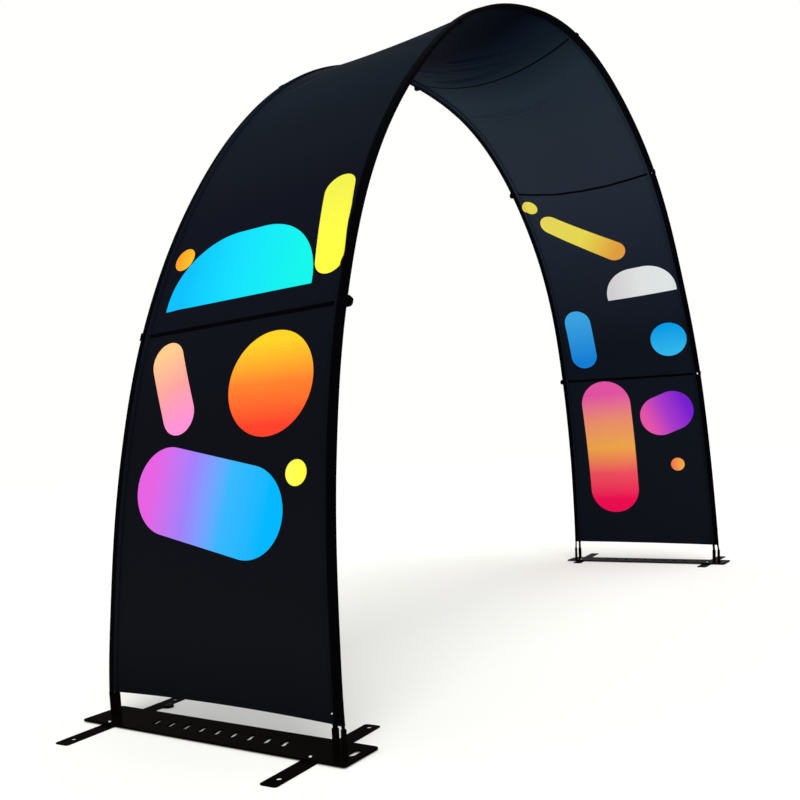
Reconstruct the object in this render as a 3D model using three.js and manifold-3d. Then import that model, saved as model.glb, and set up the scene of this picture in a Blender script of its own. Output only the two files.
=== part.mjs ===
// Fabric banner arch with its pole frame: six sewn panels of stretch cloth, held open by
// two bent poles in a sleeve along each edge, standing on two steel base plates.
// Millimetres. X runs along the span (near leg at -X), Y across the cloth (front edge at -Y),
// Z up. The origin is on the floor, at the middle of the whole footprint.

import * as THREE from 'three';
import Module from 'manifold-3d';
import { mergeVertices } from 'three/addons/utils/BufferGeometryUtils.js';

const wasm = await Module();
wasm.setup();

// ---------- driving sizes ----------

const touch_gap = 0.3;

// The arch's line, seen from the front: how far it stands from the middle of the floor,
// every eighth of the way from a foot (level) up to the crown (straight above the middle).
const arch_reach = [
  { eighth: 0, near: 2440, far: 2460 },
  { eighth: 1, near: 2460, far: 2460 },
  { eighth: 2, near: 2535, far: 2515 },
  { eighth: 3, near: 2650, far: 2620 },
  { eighth: 4, near: 2775, far: 2760 },
  { eighth: 5, near: 2890, far: 2900 },
  { eighth: 6, near: 2990, far: 3005 },
  { eighth: 7, near: 3040, far: 3060 },
  { eighth: 8, near: 3065, far: 3065 },
];

// Half the cloth's width, in sixths of each leg from its foot to the crown.
const half_width = [
  { sixth: 0, near: 575, far: 570 },
  { sixth: 1, near: 535, far: 545 },
  { sixth: 2, near: 500, far: 520 },
  { sixth: 3, near: 470, far: 490 },
  { sixth: 4, near: 475, far: 480 },
  { sixth: 5, near: 475, far: 470 },
  { sixth: 6, near: 480, far: 480 },
];

// How far the stretched cloth's middle is drawn in towards the inside of the arch,
// in quarters of each leg from its foot to the crown.
const cloth_sag = [
  { quarter: 0, near: 0, far: 0 },
  { quarter: 1, near: 0, far: 0 },
  { quarter: 2, near: 0, far: 30 },
  { quarter: 3, near: 15, far: 75 },
  { quarter: 4, near: 95, far: 95 },
];

// Where the panels meet, along the line from the near foot. The seams run a little askew.
// lobe: how far each clip's loop stands out past the cloth's edge.
const seams = [
  { name: 'near_low', front: 1505, back: 1505, front_lobe: 20, back_lobe: 0 },
  { name: 'near_high', front: 3075, back: 3075, front_lobe: 0, back_lobe: 0 },
  { name: 'crown', front: 4435, back: 4425, front_lobe: 0, back_lobe: 16 },
  { name: 'far_high', front: 5810, back: 5735, front_lobe: 0, back_lobe: 14 },
  { name: 'far_low', front: 7340, back: 7305, front_lobe: 0, back_lobe: 16 },
];
const panel_names = ['near_low', 'near_middle', 'near_top', 'far_top', 'far_middle', 'far_low'];

// The two free hems, as distances along the line from their own foot. Each curves up by its
// rise at the middle.
const near_hem = { front: 115, back: 105, rise: 11 };
const far_hem = { front: 142, back: 158, rise: 3 };

// Cloth, and the poles in its sleeves.
const cloth = 1.5;
const thick_radius = 8.5;
const thin_radius = 6;
const pole_spacing = 30;
const sleeve_ease = 0.35;
const panel_steps = 8;
const cloth_strips = 8;
const pole_sides = 8;
const round_sides = 12;
const arc_steps = 2;
const hole_steps = 4;
const socket_steps = 6;

// Base plates with their pole sockets.
const plate = { width: 203, length: 1225, thick: 8, corner: 10 };
// How far each plate's middle lies towards +X from its poles' feet and towards +Y from the
// cloth's middle, how far it is turned, in degrees, and where its carry slot lies across it.
const plate_set = {
  near: { x: 15, y: 6, turn: 1.8, slot_x: 16 },
  far: { x: 4, y: -9, turn: 0, slot_x: 44 },
};
const bar = { length: 642, width: 65, thick: 4, corner: 12, hole: 10 };
// from the bar's end inside the arch and from its end outside it
const bar_hole_from_end = { inside: 30, outside: 62 };
// A pole stays upright until this far above its socket, which is sunk into the plate by its weld.
const socket = { height: 90, wall: 3, ease: 0.6, upright_above: 1, weld: 1 };
const thick_foot = 529; // each pole's distance from the centre line at the plate
const thin_foot = 562;
const carry_slot = { length: 68, width: 28, y: -571 };
const bolt = { head_radius: 5, head_high: 6, shank_radius: 3, hole_radius: 4, above_floor: 1 };
const vents = { count: 9, length: 66, width: 20, pitch: 76, middle_y: 5, lean: 16 };

// Foot bars: where each crosses the plate's middle line, how far it is turned, and how far its
// own middle and its bolt lie towards +X from the plate's middle.
const foot_bars = [
  { name: 'near_back', leg: 'near', y: 485, turn: 5, shift: -25, bolt_x: -104 },
  { name: 'near_front', leg: 'near', y: -461, turn: 4, shift: 13, bolt_x: -72 },
  { name: 'far_back', leg: 'far', y: 505, turn: 7, shift: 108, bolt_x: -70 },
  { name: 'far_front', leg: 'far', y: -495, turn: 0, shift: 65, bolt_x: -70 },
];
const rubber_pad = { radius: 23, straight: 9, high: 12, along: 176 };

// Each clip is threaded on the thin pole and reaches in to just short of the thick one.
const clip = { length: 34, wall: 2, pole_ease: 1.4, thick_pole_gap: 0.9 };
const clip_corner = { inner: 4, outer: 5 };
const clip_eye = { length: 20, wall: 2 };
const clip_lobe = { corner: 12, eye_width: 7, eye_length: 12, eye_inset: 6 };
const notch = { length: 38, past_edge: 6, thick_pole_gap: 0.5, high: 32 };
// end_trim: how much of the first and last strip of cloth a tape leaves bare.
const seam_tape = { width: 7, thick: 1.2, end_trim: 0.06 };
const stud = { radius: 3.2, high: 2, above_hem: 38 };

// ---------- finishes ----------

function finish(colour, roughness, metalness) {
  return new THREE.MeshStandardMaterial({ color: colour, roughness, metalness });
}
const finishes = {
  cloth: () => finish(0x1c222b, 0.75, 0),
  pole: () => finish(0x111214, 0.45, 0.2),
  clip: () => finish(0x0e0e10, 0.5, 0),
  tape: () => finish(0x0b0c10, 0.8, 0),
  steel: () => finish(0x1a1918, 0.4, 0.3),
  rubber: () => finish(0x151515, 0.85, 0),
  bright: () => finish(0xb8b8b4, 0.3, 1),
};

const arch = new THREE.Group();

function add(name, geometry, material) {
  const mesh = new THREE.Mesh(geometry, material);
  mesh.name = name;
  arch.add(mesh);
  return mesh;
}

// ---------- the arch's line ----------

const column = (table, name) => table.map((row) => row[name]);

// A smooth curve through evenly spaced values, level where it ends at the crown.
function smooth(values, share) {
  const last = values.length - 1;
  const place = Math.min(Math.max(share, 0), 1) * last;
  const i = Math.min(Math.floor(place), last - 1);
  const t = place - i;
  const all = [2 * values[0] - values[1], ...values, values[last - 1]];
  const [a, b, c, d] = all.slice(i, i + 4);
  const bend = t * t * (a - 2.5 * b + 2 * c - d / 2);
  return b + (t * (c - a)) / 2 + bend + t ** 3 * (-a / 2 + 1.5 * b - 1.5 * c + d / 2);
}

// One leg's line as closely spaced points, from its foot to the crown.
function leg_line(leg) {
  const samples = 720;
  const reach = column(arch_reach, leg);
  const points = [];
  let length = 0;
  for (let i = 0; i <= samples; i++) {
    const angle = (i / samples) * (Math.PI / 2);
    const r = smooth(reach, i / samples);
    const x = r * Math.cos(angle) * (leg === 'near' ? -1 : 1);
    const z = r * Math.sin(angle);
    if (i > 0) {
      length += Math.hypot(x - points[i - 1].x, z - points[i - 1].z);
    }
    points.push({ x, z, length });
  }
  return { points, length };
}
const near_leg = leg_line('near');
const far_leg = leg_line('far');
const line_length = near_leg.length + far_leg.length;

function leg_point(leg, length) {
  const { points } = leg;
  let high = points.findIndex((point) => point.length >= length);
  high = high < 1 ? (length <= 0 ? 1 : points.length - 1) : high;
  const a = points[high - 1];
  const b = points[high];
  const t = (length - a.length) / (b.length - a.length);
  return { x: a.x + (b.x - a.x) * t, z: a.z + (b.z - a.z) * t };
}

function line_point(along) {
  return along <= near_leg.length
    ? leg_point(near_leg, along)
    : leg_point(far_leg, line_length - along);
}

// Everything about the line at one distance from the near foot: its point, the direction that
// faces out of the arch, the cloth's half width and the depth of its sag.
function station(along) {
  const near = along <= near_leg.length;
  const leg = near ? 'near' : 'far';
  const share = near ? along / near_leg.length : (line_length - along) / far_leg.length;
  const before = line_point(along - 1);
  const after = line_point(along + 1);
  const span = Math.hypot(after.x - before.x, after.z - before.z);
  return {
    ...line_point(along),
    out_x: -(after.z - before.z) / span,
    out_z: (after.x - before.x) / span,
    half: smooth(column(half_width, leg), share),
    sag: smooth(column(cloth_sag, leg), share),
  };
}

// ---------- the edge sleeve's section ----------

// Sections are drawn in the cloth's own plane: "inside" is the distance in from the cloth's
// edge, "out" the distance out of the arch. Directions are in degrees, 0 towards the edge.
const flat = Math.cos(Math.PI / 8); // a ring of eight sides stands this much inside its corners
const thin_bore = (thin_radius + sleeve_ease) / flat;
const thick_bore = (thick_radius + sleeve_ease) / flat;
const thin_inside = thin_bore + cloth;
const thick_inside = thin_inside + pole_spacing;
const root_angle = (Math.asin(cloth / 2 / (thick_bore + cloth)) * 180) / Math.PI;
const root_inside = thick_inside + (thick_bore + cloth) * Math.cos((root_angle * Math.PI) / 180);

function around(inside, radius, degrees) {
  const angle = (degrees * Math.PI) / 180;
  return { inside: inside - radius * Math.cos(angle), out: radius * Math.sin(angle) };
}
const thin_turn = [90, 45, 0, -45, -90];
const sleeve_outer = [
  ...[180 - root_angle, 135, 90].map((turn) => around(thick_inside, thick_bore + cloth, turn)),
  ...thin_turn.map((turn) => around(thin_inside, thin_bore + cloth, turn)),
  ...[-90, -135, root_angle - 180].map((turn) => around(thick_inside, thick_bore + cloth, turn)),
];
const sleeve_inner = [
  ...[180, 135, 90].map((turn) => around(thick_inside, thick_bore, turn)),
  ...thin_turn.map((turn) => around(thin_inside, thin_bore, turn)),
  ...[-90, -135].map((turn) => around(thick_inside, thick_bore, turn)),
];

const FRONT = -1;
const BACK = 1;

function edge_point(at, side, inside, out) {
  return new THREE.Vector3(at.x + at.out_x * out, side * (at.half - inside), at.z + at.out_z * out);
}

// A point of the open cloth between the sleeves; across runs from -1 at the front sleeve to 1.
function cloth_point(from, across, out, rise = 0) {
  const middle = (from.front * (1 - across) + from.back * (1 + across)) / 2;
  const at = station(middle + rise * (1 - across * across));
  const depth = at.sag * (1 - across * across);
  return new THREE.Vector3(
    at.x + at.out_x * (out - depth),
    across * (at.half - root_inside),
    at.z + at.out_z * (out - depth),
  );
}

// ---------- meshes from rings ----------

function solid_from(points, triangles) {
  const geometry = new THREE.BufferGeometry();
  const flat_list = points.flatMap((point) => [point.x, point.y, point.z]);
  geometry.setAttribute('position', new THREE.Float32BufferAttribute(flat_list, 3));
  let volume = 0;
  for (const [a, b, c] of triangles) {
    volume += points[a].dot(new THREE.Vector3().crossVectors(points[b], points[c]));
  }
  const facing = volume > 0 ? triangles : triangles.map(([a, b, c]) => [a, c, b]);
  geometry.setIndex(facing.flat());
  return geometry;
}

// Joins rings of equal size into one closed body. Each loop lists its points in order; the cap
// closes the two ends. Each four-sided patch is split from its lower-numbered point onwards, so
// that the two faces of a thin wall are split the same way and stay apart where it twists.
function skin(rings, loops, cap) {
  const count = rings[0].length;
  const points = rings.flat();
  const triangles = [];
  for (let k = 0; k + 1 < rings.length; k++) {
    for (const loop of loops) {
      loop.forEach((here, i) => {
        const next = loop[(i + 1) % loop.length];
        const a = k * count + here;
        const b = k * count + next;
        if (here < next) {
          triangles.push([a, b, b + count], [a, b + count, a + count]);
        } else {
          triangles.push([a, b, a + count], [b, b + count, a + count]);
        }
      });
    }
  }
  const end = (rings.length - 1) * count;
  for (const [a, b, c] of cap) {
    triangles.push([a, c, b], [end + a, end + b, end + c]);
  }
  return solid_from(points, triangles);
}

function to_manifold(geometry) {
  const bare = geometry.clone();
  bare.deleteAttribute('normal');
  bare.deleteAttribute('uv');
  const merged = mergeVertices(bare);
  return new wasm.Manifold(new wasm.Mesh({
    numProp: 3,
    vertProperties: new Float32Array(merged.attributes.position.array),
    triVerts: new Uint32Array(merged.index.array),
  }));
}

function from_manifold(solid) {
  const mesh = solid.getMesh();
  const geometry = new THREE.BufferGeometry();
  geometry.setAttribute('position', new THREE.BufferAttribute(mesh.vertProperties, 3));
  geometry.setIndex(new THREE.BufferAttribute(mesh.triVerts, 1));
  return geometry;
}

// Moves a shape drawn with X towards the cloth's edge and beyond, Y along the line and Z square
// to the cloth, to its place on one edge.
function to_edge(geometry, along, side) {
  const at = station(along);
  const across = new THREE.Vector3(0, side, 0);
  const onward = new THREE.Vector3(at.out_z, 0, -at.out_x);
  const square = new THREE.Vector3().crossVectors(across, onward);
  const place = new THREE.Matrix4().makeBasis(across, onward, square);
  place.setPosition(edge_point(at, side, 0, 0));
  return geometry.applyMatrix4(place);
}

// ---------- cloth panels ----------

const strip_shares = Array.from({ length: cloth_strips + 1 }, (_, i) => (2 * i) / cloth_strips - 1);

// One section of a panel. Its points are the open cloth's outer face and inner face from front to
// back, then the rest of each sleeve's outside, then each sleeve's bore.
function panel_ring(from, rise) {
  const ring = [];
  const front = station(from.front);
  const back = station(from.back);
  for (const out of [cloth / 2, -cloth / 2]) {
    ring.push(...strip_shares.map((across) => cloth_point(from, across, out, rise)));
  }
  const rest = sleeve_outer.slice(1, -1);
  for (const [at, side] of [[front, FRONT], [back, BACK]]) {
    ring.push(...rest.map((spot) => edge_point(at, side, spot.inside, spot.out)));
  }
  for (const [at, side] of [[front, FRONT], [back, BACK]]) {
    ring.push(...sleeve_inner.map((spot) => edge_point(at, side, spot.inside, spot.out)));
  }
  return ring;
}

const count_up = (start, count) => Array.from({ length: count }, (_, i) => start + i);
const face_count = strip_shares.length;
const rest_count = sleeve_outer.length - 2;
const outer_face = count_up(0, face_count);
const inner_face = count_up(face_count, face_count);
const front_rest = count_up(2 * face_count, rest_count);
const back_rest = count_up(2 * face_count + rest_count, rest_count);
const front_bore = count_up(2 * (face_count + rest_count), sleeve_inner.length);
const back_bore = count_up(2 * (face_count + rest_count) + sleeve_inner.length, sleeve_inner.length);
const panel_loops = [
  [...outer_face, ...back_rest, ...inner_face.toReversed(), ...front_rest.toReversed()],
  front_bore,
  back_bore.toReversed(),
];

function sleeve_cap(outer, bore, turned) {
  const triangles = [[outer[0], bore[0], outer[outer.length - 1]]];
  for (let i = 0; i + 1 < outer.length; i++) {
    const a = bore[i % bore.length];
    const b = bore[(i + 1) % bore.length];
    triangles.push([outer[i], outer[i + 1], b], [outer[i], b, a]);
  }
  return turned ? triangles.map(([a, b, c]) => [a, c, b]) : triangles;
}

function panel_cap() {
  const front = [outer_face[0], ...front_rest, inner_face[0]];
  const back = [outer_face[face_count - 1], ...back_rest, inner_face[face_count - 1]];
  const triangles = [...sleeve_cap(front, front_bore, true), ...sleeve_cap(back, back_bore, false)];
  for (let i = 0; i + 1 < face_count; i++) {
    triangles.push([outer_face[i], outer_face[i + 1], inner_face[i + 1]]);
    triangles.push([outer_face[i], inner_face[i + 1], inner_face[i]]);
  }
  return triangles;
}

// The cuts that bare the thin pole where two panels' sleeves meet.
function notch_cut(along, side) {
  const wide = thick_inside - thick_radius - notch.thick_pole_gap + notch.past_edge;
  const box = new THREE.BoxGeometry(wide, notch.length, notch.high);
  box.translate(notch.past_edge - wide / 2, 0, 0);
  return to_manifold(to_edge(box, along, side));
}

const hem_start = { front: near_hem.front, back: near_hem.back };
const hem_end = { front: line_length - far_hem.front, back: line_length - far_hem.back };
const panel_ends = [hem_start, ...seams, hem_end];

function share_between(from, to, share) {
  return {
    front: from.front + (to.front - from.front) * share,
    back: from.back + (to.back - from.back) * share,
  };
}

function panel(index) {
  const from = panel_ends[index];
  const to = panel_ends[index + 1];
  const first_hem = index === 0;
  const last_hem = index === panel_names.length - 1;
  const trim = touch_gap / 2 / (to.front - from.front);
  const rings = [];
  for (let k = 0; k <= panel_steps; k++) {
    const start = k === 0 && !first_hem;
    const end = k === panel_steps && !last_hem;
    const share = k / panel_steps + (start ? trim : 0) - (end ? trim : 0);
    const near_rise = first_hem && k === 0 ? near_hem.rise : 0;
    const far_rise = last_hem && k === panel_steps ? far_hem.rise : 0;
    rings.push(panel_ring(share_between(from, to, share), near_rise - far_rise));
  }
  let body = to_manifold(skin(rings, panel_loops, panel_cap()));
  for (const [end, is_hem] of [[from, first_hem], [to, last_hem]]) {
    if (!is_hem) {
      body = body.subtract(notch_cut(end.front, FRONT)).subtract(notch_cut(end.back, BACK));
    }
  }
  return from_manifold(body);
}

panel_names.forEach((name, index) => {
  add(`cloth_panel_${name}`, panel(index), finishes.cloth());
});

// ---------- seam tapes ----------

function tape(seam) {
  const top = -cloth / 2 - touch_gap;
  const corners = [
    [-seam_tape.width / 2, top],
    [seam_tape.width / 2, top],
    [seam_tape.width / 2, top - seam_tape.thick],
    [-seam_tape.width / 2, top - seam_tape.thick],
  ];
  const rings = strip_shares.map((across) => corners.map(([onward, out]) => {
    const from = { front: seam.front + onward, back: seam.back + onward };
    return cloth_point(from, across, out);
  }));
  // the ends stop short of the sleeves
  for (const [end, next] of [[0, 1], [cloth_strips, cloth_strips - 1]]) {
    rings[end].forEach((point, i) => point.lerp(rings[next][i], seam_tape.end_trim));
  }
  return skin(rings, [[0, 1, 2, 3]], [[0, 1, 2], [0, 2, 3]]);
}

for (const seam of seams) {
  add(`seam_tape_${seam.name}`, tape(seam), finishes.tape());
}

// ---------- poles ----------

const plate_bottom = bar.thick + touch_gap;
const plate_top = plate_bottom + plate.thick;

function pole_ring(centre, out_x, out_z, radius) {
  const ring = [];
  for (let i = 0; i < pole_sides; i++) {
    const angle = ((i + 0.5) / pole_sides) * 2 * Math.PI;
    const across = radius * Math.cos(angle);
    const out = radius * Math.sin(angle);
    ring.push(new THREE.Vector3(centre.x + out_x * out, centre.y + across, centre.z + out_z * out));
  }
  return ring;
}

// A pole stands upright in its socket at each foot and follows the cloth's edge between the hems.
function pole(side, inside, radius, foot_y) {
  const edge = side === FRONT ? 'front' : 'back';
  const rings = [];
  const upright = (x, out_x, heights) => {
    for (const z of heights) {
      rings.push(pole_ring(new THREE.Vector3(x, side * foot_y, z), out_x, 0, radius));
    }
  };
  const low = plate_top + touch_gap;
  const high = plate_top + socket.height + socket.upright_above;
  upright(-arch_reach[0].near, -1, [low, high]);
  for (let index = 0; index < panel_names.length; index++) {
    const first = index === 0 ? 0 : 1;
    for (let k = first; k <= panel_steps; k++) {
      const spot = share_between(panel_ends[index], panel_ends[index + 1], k / panel_steps);
      const at = station(spot[edge]);
      rings.push(pole_ring(edge_point(at, side, inside, 0), at.out_x, at.out_z, radius));
    }
  }
  upright(arch_reach[0].far, 1, [high, low]);
  const cap = [];
  for (let i = 1; i + 1 < pole_sides; i++) {
    cap.push([0, i, i + 1]);
  }
  return skin(rings, [count_up(0, pole_sides)], cap);
}

for (const [side, edge] of [[FRONT, 'front'], [BACK, 'back']]) {
  add(`pole_thick_${edge}`, pole(side, thick_inside, thick_radius, thick_foot), finishes.pole());
  add(`pole_thin_${edge}`, pole(side, thin_inside, thin_radius, thin_foot), finishes.pole());
}

// ---------- pole clips ----------

function rounded_outline(low_x, high_x, low_y, high_y, low_corner, high_corner) {
  const outline = new THREE.Shape();
  const quarter = Math.PI / 2;
  outline.absarc(low_x + low_corner, low_y + low_corner, low_corner, 2 * quarter, 3 * quarter);
  outline.absarc(high_x - high_corner, low_y + high_corner, high_corner, 3 * quarter, 4 * quarter);
  outline.absarc(high_x - high_corner, high_y - high_corner, high_corner, 0, quarter);
  outline.absarc(low_x + low_corner, high_y - low_corner, low_corner, quarter, 2 * quarter);
  return outline;
}

function slot_hole(x, y, wide, long, degrees = 90) {
  const hole = new THREE.Path();
  const radius = wide / 2;
  const turn = (degrees * Math.PI) / 180;
  const reach_x = (long / 2 - radius) * Math.cos(turn);
  const reach_y = (long / 2 - radius) * Math.sin(turn);
  const quarter = Math.PI / 2;
  hole.absarc(x + reach_x, y + reach_y, radius, turn - quarter, turn + quarter);
  hole.absarc(x - reach_x, y - reach_y, radius, turn + quarter, turn + 3 * quarter);
  return hole;
}

function round_hole(x, y, radius) {
  const hole = new THREE.Path();
  hole.absarc(x, y, radius, 0, 2 * Math.PI);
  return hole;
}

function pole_channel(inside, radius) {
  const channel = new THREE.CylinderGeometry(radius, radius, 3 * clip.length, round_sides);
  channel.translate(-inside, 0, 0);
  return to_manifold(channel);
}

// Moulded clip threaded on the thin pole where the sleeves are cut away. Its eye lies between the
// poles, or in a loop that stands out past the cloth's edge.
function pole_clip(along, side, lobe) {
  const channel = thin_radius + clip.pole_ease;
  const high = 2 * (channel + clip.wall);
  const low_x = -thick_inside + thick_radius + clip.thick_pole_gap;
  const high_x = lobe > 0 ? lobe : -thin_inside + channel + clip.wall;
  const half = clip.length / 2;
  const outer_corner = lobe > 0 ? clip_lobe.corner : clip_corner.outer;
  const outline = rounded_outline(low_x, high_x, -half, half, clip_corner.inner, outer_corner);
  const eye_low = low_x + clip_eye.wall;
  const eye_high = -thin_inside - channel;
  if (lobe > 0) {
    const eye_x = lobe / 2 - clip_lobe.eye_inset;
    outline.holes.push(slot_hole(eye_x, 0, clip_lobe.eye_width, clip_lobe.eye_length));
  } else {
    const wide = eye_high - eye_low;
    outline.holes.push(slot_hole((eye_low + eye_high) / 2, 0, wide, clip_eye.length));
  }
  const block = new THREE.ExtrudeGeometry(outline, {
    depth: high, bevelEnabled: false, curveSegments: arc_steps,
  });
  block.translate(0, 0, -high / 2);
  const body = to_manifold(block).subtract(pole_channel(thin_inside, channel));
  return to_edge(from_manifold(body), along, side);
}

for (const seam of seams) {
  const front = pole_clip(seam.front, FRONT, seam.front_lobe);
  const back = pole_clip(seam.back, BACK, seam.back_lobe);
  add(`clip_${seam.name}_front`, front, finishes.clip());
  add(`clip_${seam.name}_back`, back, finishes.clip());
}

// ---------- hem stud ----------

const stud_disc = new THREE.CylinderGeometry(stud.radius, stud.radius, stud.high, round_sides);
stud_disc.rotateX(Math.PI / 2);
stud_disc.translate(-thick_inside, 0, thick_bore + cloth + touch_gap + stud.high / 2);
const stud_along = near_hem.front + stud.above_hem;
add('hem_stud_near_front', to_edge(stud_disc, stud_along, FRONT), finishes.bright());

// ---------- bases ----------

const in_radians = (degrees) => (degrees * Math.PI) / 180;

const plate_middle = {
  near: { x: -arch_reach[0].near + plate_set.near.x, y: plate_set.near.y },
  far: { x: arch_reach[0].far + plate_set.far.x, y: plate_set.far.y },
};

// A spot on a foot bar, a distance along it from where it crosses its plate's middle line.
function bar_spot(foot, along) {
  const turn = in_radians(foot.turn);
  return {
    x: plate_middle[foot.leg].x + along * Math.cos(turn),
    y: foot.y + along * Math.sin(turn),
  };
}

// The same spot as its plate's own across and onward distances.
function on_plate(leg, spot) {
  const turn = in_radians(plate_set[leg].turn);
  const x = spot.x - plate_middle[leg].x;
  const y = spot.y - plate_middle[leg].y;
  return { x: x * Math.cos(turn) + y * Math.sin(turn), y: y * Math.cos(turn) - x * Math.sin(turn) };
}

// Plate with its carry slot, row of slanted vents, bolt holes and four welded pole sockets,
// drawn about its own middle.
function base_plate(leg) {
  const outline = rounded_outline(
    -plate.width / 2, plate.width / 2, -plate.length / 2, plate.length / 2, plate.corner, plate.corner,
  );
  const { slot_x } = plate_set[leg];
  outline.holes.push(slot_hole(slot_x, carry_slot.y, carry_slot.width, carry_slot.length, 0));
  for (const foot of foot_bars.filter((each) => each.leg === leg)) {
    const { x, y } = on_plate(leg, bar_spot(foot, foot.bolt_x));
    outline.holes.push(round_hole(x, y, bolt.hole_radius));
  }
  for (let i = 0; i < vents.count; i++) {
    const y = vents.middle_y + (i - (vents.count - 1) / 2) * vents.pitch;
    outline.holes.push(slot_hole(0, y, vents.width, vents.length, vents.lean));
  }
  const sheet = new THREE.ExtrudeGeometry(outline, {
    depth: plate.thick, bevelEnabled: false, curveSegments: hole_steps,
  });
  sheet.translate(0, 0, plate_bottom);
  let body = to_manifold(sheet);
  const poles = [[thick_radius, thick_foot], [thin_radius, thin_foot]];
  for (const [radius, foot_y] of poles) {
    for (const side of [FRONT, BACK]) {
      const foot_x = plate_middle[leg].x - plate_set[leg].x;
      const { x, y } = on_plate(leg, { x: foot_x, y: side * foot_y });
      const ring = new THREE.Shape();
      ring.absarc(x, y, radius + socket.ease + socket.wall, 0, 2 * Math.PI);
      ring.holes.push(round_hole(x, y, radius + socket.ease));
      const depth = socket.height + socket.weld;
      const tube = new THREE.ExtrudeGeometry(ring, {
        depth, bevelEnabled: false, curveSegments: socket_steps,
      });
      tube.translate(0, 0, plate_top - socket.weld);
      body = body.add(to_manifold(tube));
    }
  }
  return from_manifold(body);
}

for (const leg of ['near', 'far']) {
  const mesh = add(`base_plate_${leg}`, base_plate(leg), finishes.steel());
  mesh.position.set(plate_middle[leg].x, plate_middle[leg].y, 0);
  mesh.rotation.z = in_radians(plate_set[leg].turn);
}

function foot_bar(foot) {
  const low_x = foot.shift - bar.length / 2;
  const high_x = foot.shift + bar.length / 2;
  const half = bar.width / 2;
  const outline = rounded_outline(low_x, high_x, -half, half, bar.corner, bar.corner);
  const { outside, inside } = bar_hole_from_end;
  const [from_low, from_high] = foot.leg === 'near' ? [outside, inside] : [inside, outside];
  outline.holes.push(round_hole(low_x + from_low, 0, bar.hole));
  outline.holes.push(round_hole(high_x - from_high, 0, bar.hole));
  outline.holes.push(round_hole(foot.bolt_x, 0, bolt.hole_radius));
  return new THREE.ExtrudeGeometry(outline, {
    depth: bar.thick, bevelEnabled: false, curveSegments: hole_steps,
  });
}

function upright_disc(radius, low, high) {
  const disc = new THREE.CylinderGeometry(radius, radius, high - low, round_sides);
  disc.rotateX(Math.PI / 2);
  disc.translate(0, 0, (low + high) / 2);
  return disc;
}

// Bolt that holds a bar under its plate: a round head above the plate, and its shank.
function bar_bolt() {
  const under_head = plate_top + touch_gap;
  const mid_head = under_head + bolt.head_high / 2;
  const head = upright_disc(bolt.head_radius, under_head, under_head + bolt.head_high);
  const shank = upright_disc(bolt.shank_radius, bolt.above_floor, mid_head);
  return from_manifold(to_manifold(head).add(to_manifold(shank)));
}

for (const foot of foot_bars) {
  const mesh = add(`foot_bar_${foot.name}`, foot_bar(foot), finishes.steel());
  mesh.position.set(plate_middle[foot.leg].x, foot.y, 0);
  mesh.rotation.z = in_radians(foot.turn);
  const spot = bar_spot(foot, foot.bolt_x);
  add(`bar_bolt_${foot.name}`, bar_bolt(), finishes.bright()).position.set(spot.x, spot.y, 0);
}

// Round-ended rubber pad against the near back bar's front side.
function round_ended_pad() {
  const outline = new THREE.Shape();
  outline.moveTo(rubber_pad.radius, 0);
  outline.lineTo(-rubber_pad.radius, 0);
  outline.absarc(0, -rubber_pad.straight, rubber_pad.radius, Math.PI, 2 * Math.PI);
  return new THREE.ExtrudeGeometry(outline, {
    depth: rubber_pad.high, bevelEnabled: false, curveSegments: round_sides,
  });
}

const pad_bar = foot_bars[0];
const pad_turn = in_radians(pad_bar.turn);
const pad_side = bar.width / 2 + touch_gap;
const pad_spot = bar_spot(pad_bar, rubber_pad.along);
const pad = add('rubber_pad_near_back', round_ended_pad(), finishes.rubber());
pad.rotation.z = pad_turn;
pad.position.set(
  pad_spot.x + pad_side * Math.sin(pad_turn),
  pad_spot.y - pad_side * Math.cos(pad_turn),
  0,
);

// ---------- the frame's origin ----------

arch.updateMatrixWorld(true);
const footprint = new THREE.Box3().setFromObject(arch).getCenter(new THREE.Vector3());
arch.position.set(-footprint.x, -footprint.y, 0);

export default arch;
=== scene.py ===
import math

import bpy
import numpy as np
from mathutils import Euler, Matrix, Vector


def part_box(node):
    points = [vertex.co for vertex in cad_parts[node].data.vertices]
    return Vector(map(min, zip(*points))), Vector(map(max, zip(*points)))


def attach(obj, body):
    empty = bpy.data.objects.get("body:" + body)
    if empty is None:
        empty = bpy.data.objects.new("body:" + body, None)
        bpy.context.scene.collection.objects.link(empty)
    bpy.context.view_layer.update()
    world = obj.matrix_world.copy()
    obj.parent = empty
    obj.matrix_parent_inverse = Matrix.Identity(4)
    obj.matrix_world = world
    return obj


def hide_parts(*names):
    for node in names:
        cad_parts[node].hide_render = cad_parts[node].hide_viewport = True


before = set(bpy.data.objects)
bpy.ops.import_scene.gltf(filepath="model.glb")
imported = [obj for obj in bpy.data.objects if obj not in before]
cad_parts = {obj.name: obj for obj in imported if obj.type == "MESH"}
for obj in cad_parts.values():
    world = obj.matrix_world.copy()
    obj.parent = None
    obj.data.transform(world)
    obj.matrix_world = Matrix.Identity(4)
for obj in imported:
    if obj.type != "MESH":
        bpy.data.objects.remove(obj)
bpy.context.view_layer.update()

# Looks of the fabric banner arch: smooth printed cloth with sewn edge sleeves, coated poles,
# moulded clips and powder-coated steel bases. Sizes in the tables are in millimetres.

MM = 0.001

# ---------- camera ----------

eye = Vector((-4.7282, -2.2198, 0.9694))
eye_turn = {"pitch": -0.0932, "yaw": 0.6316, "roll": -0.0563}
lens = 40.14

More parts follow.
